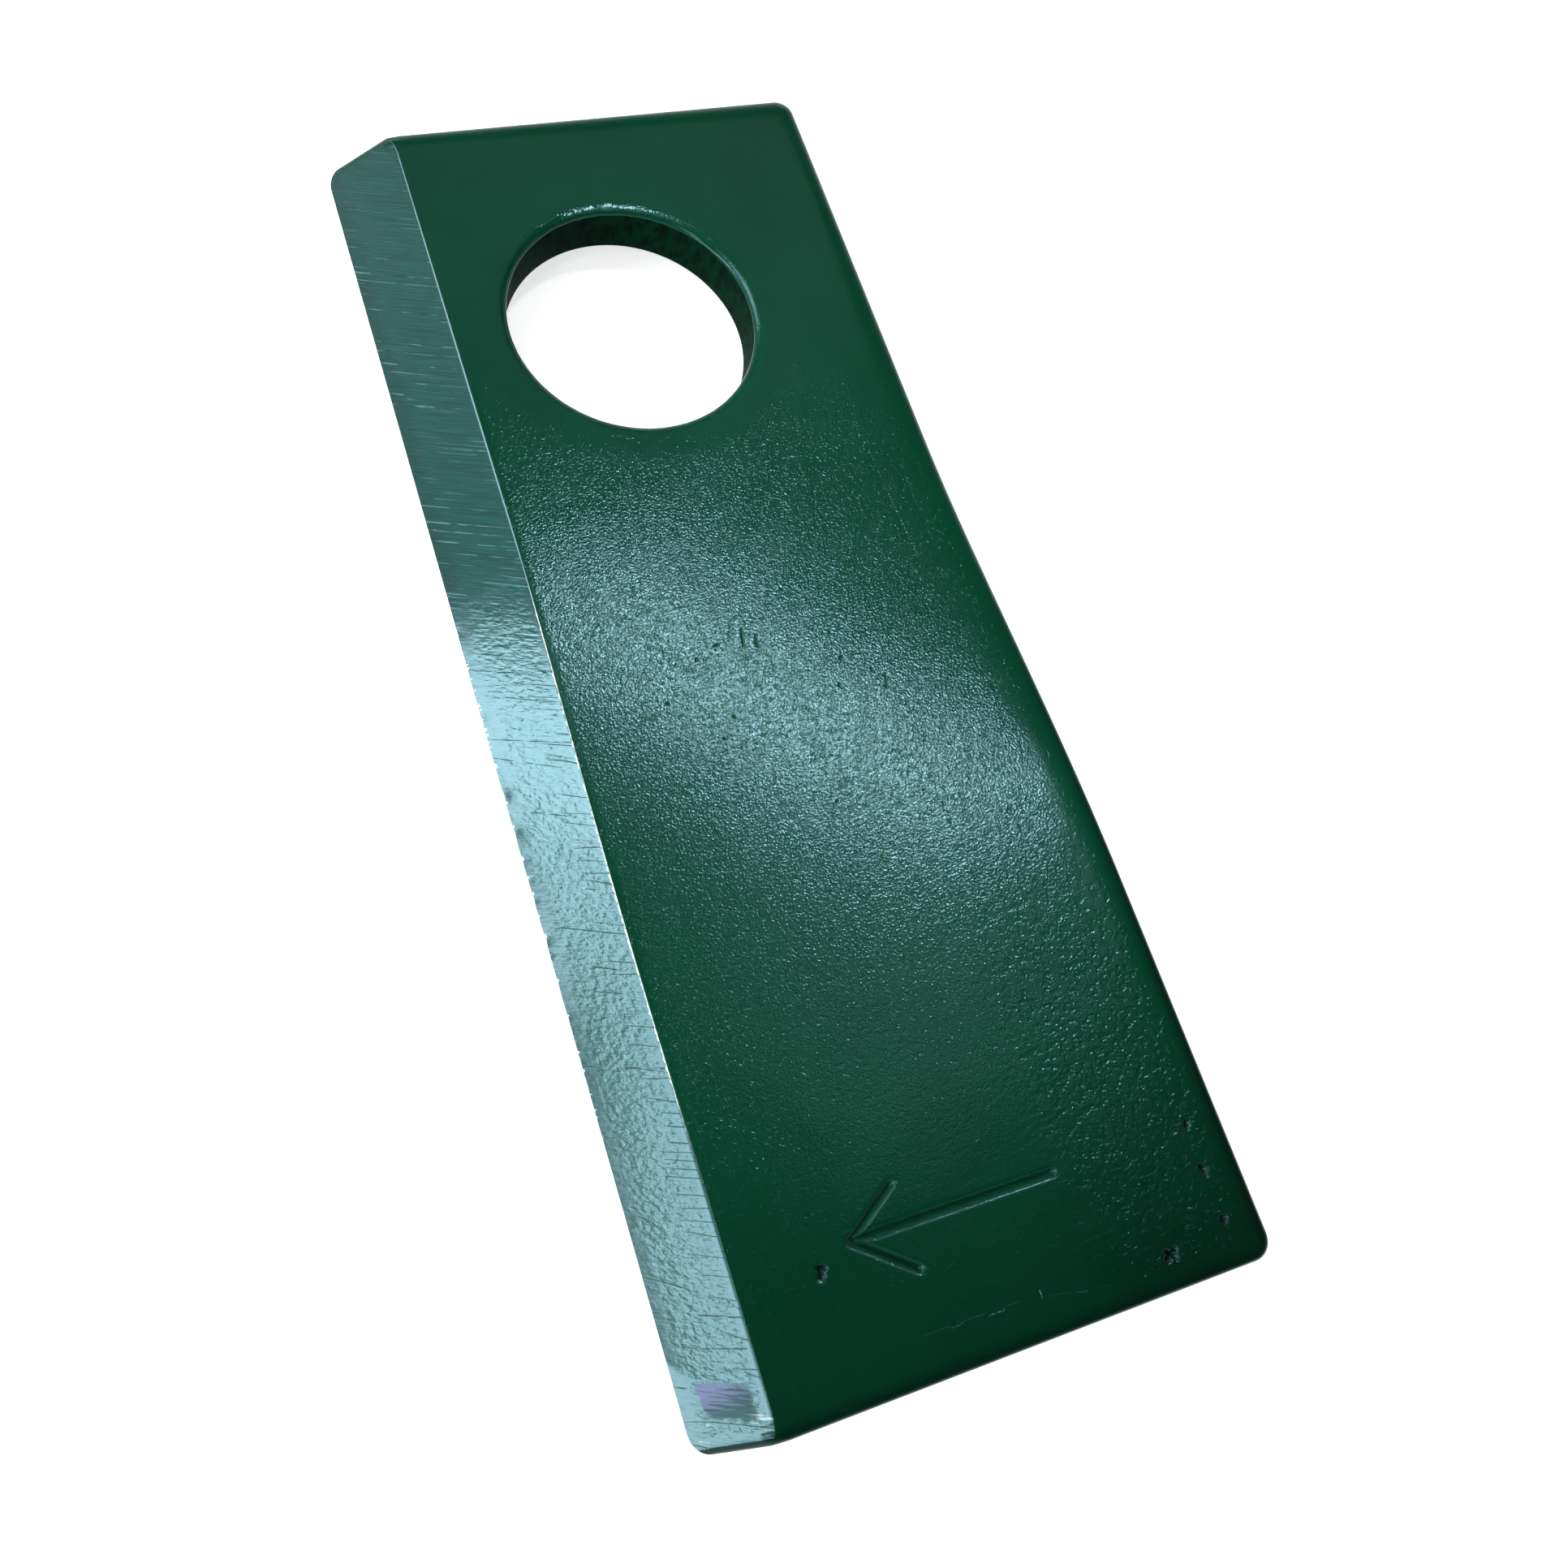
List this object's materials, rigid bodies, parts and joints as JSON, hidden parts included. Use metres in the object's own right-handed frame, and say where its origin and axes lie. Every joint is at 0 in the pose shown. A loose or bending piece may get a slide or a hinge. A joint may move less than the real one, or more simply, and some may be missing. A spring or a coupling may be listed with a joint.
{
  "type": "rotary mower blade",
  "caption": "Flat steel mower blade with a round pin hole at one end, a ground bevel along one long edge and a slight twist that turns the tip.",
  "frame": {"origin": "on the axis of the pin hole, level with the underside of the mounting end", "axes": "+Z along the pin hole, out of the upper face; -Y along the blade to its tip; -X towards the cutting edge"},
  "size_m": [0.0401, 0.098, 0.009],
  "materials": {
    "green_paint": "semi-gloss green stoving paint with a fine orange-peel grain"
  },
  "bodies": {
    "root": {"blade": "green_paint"}
  },
  "joints": []
}
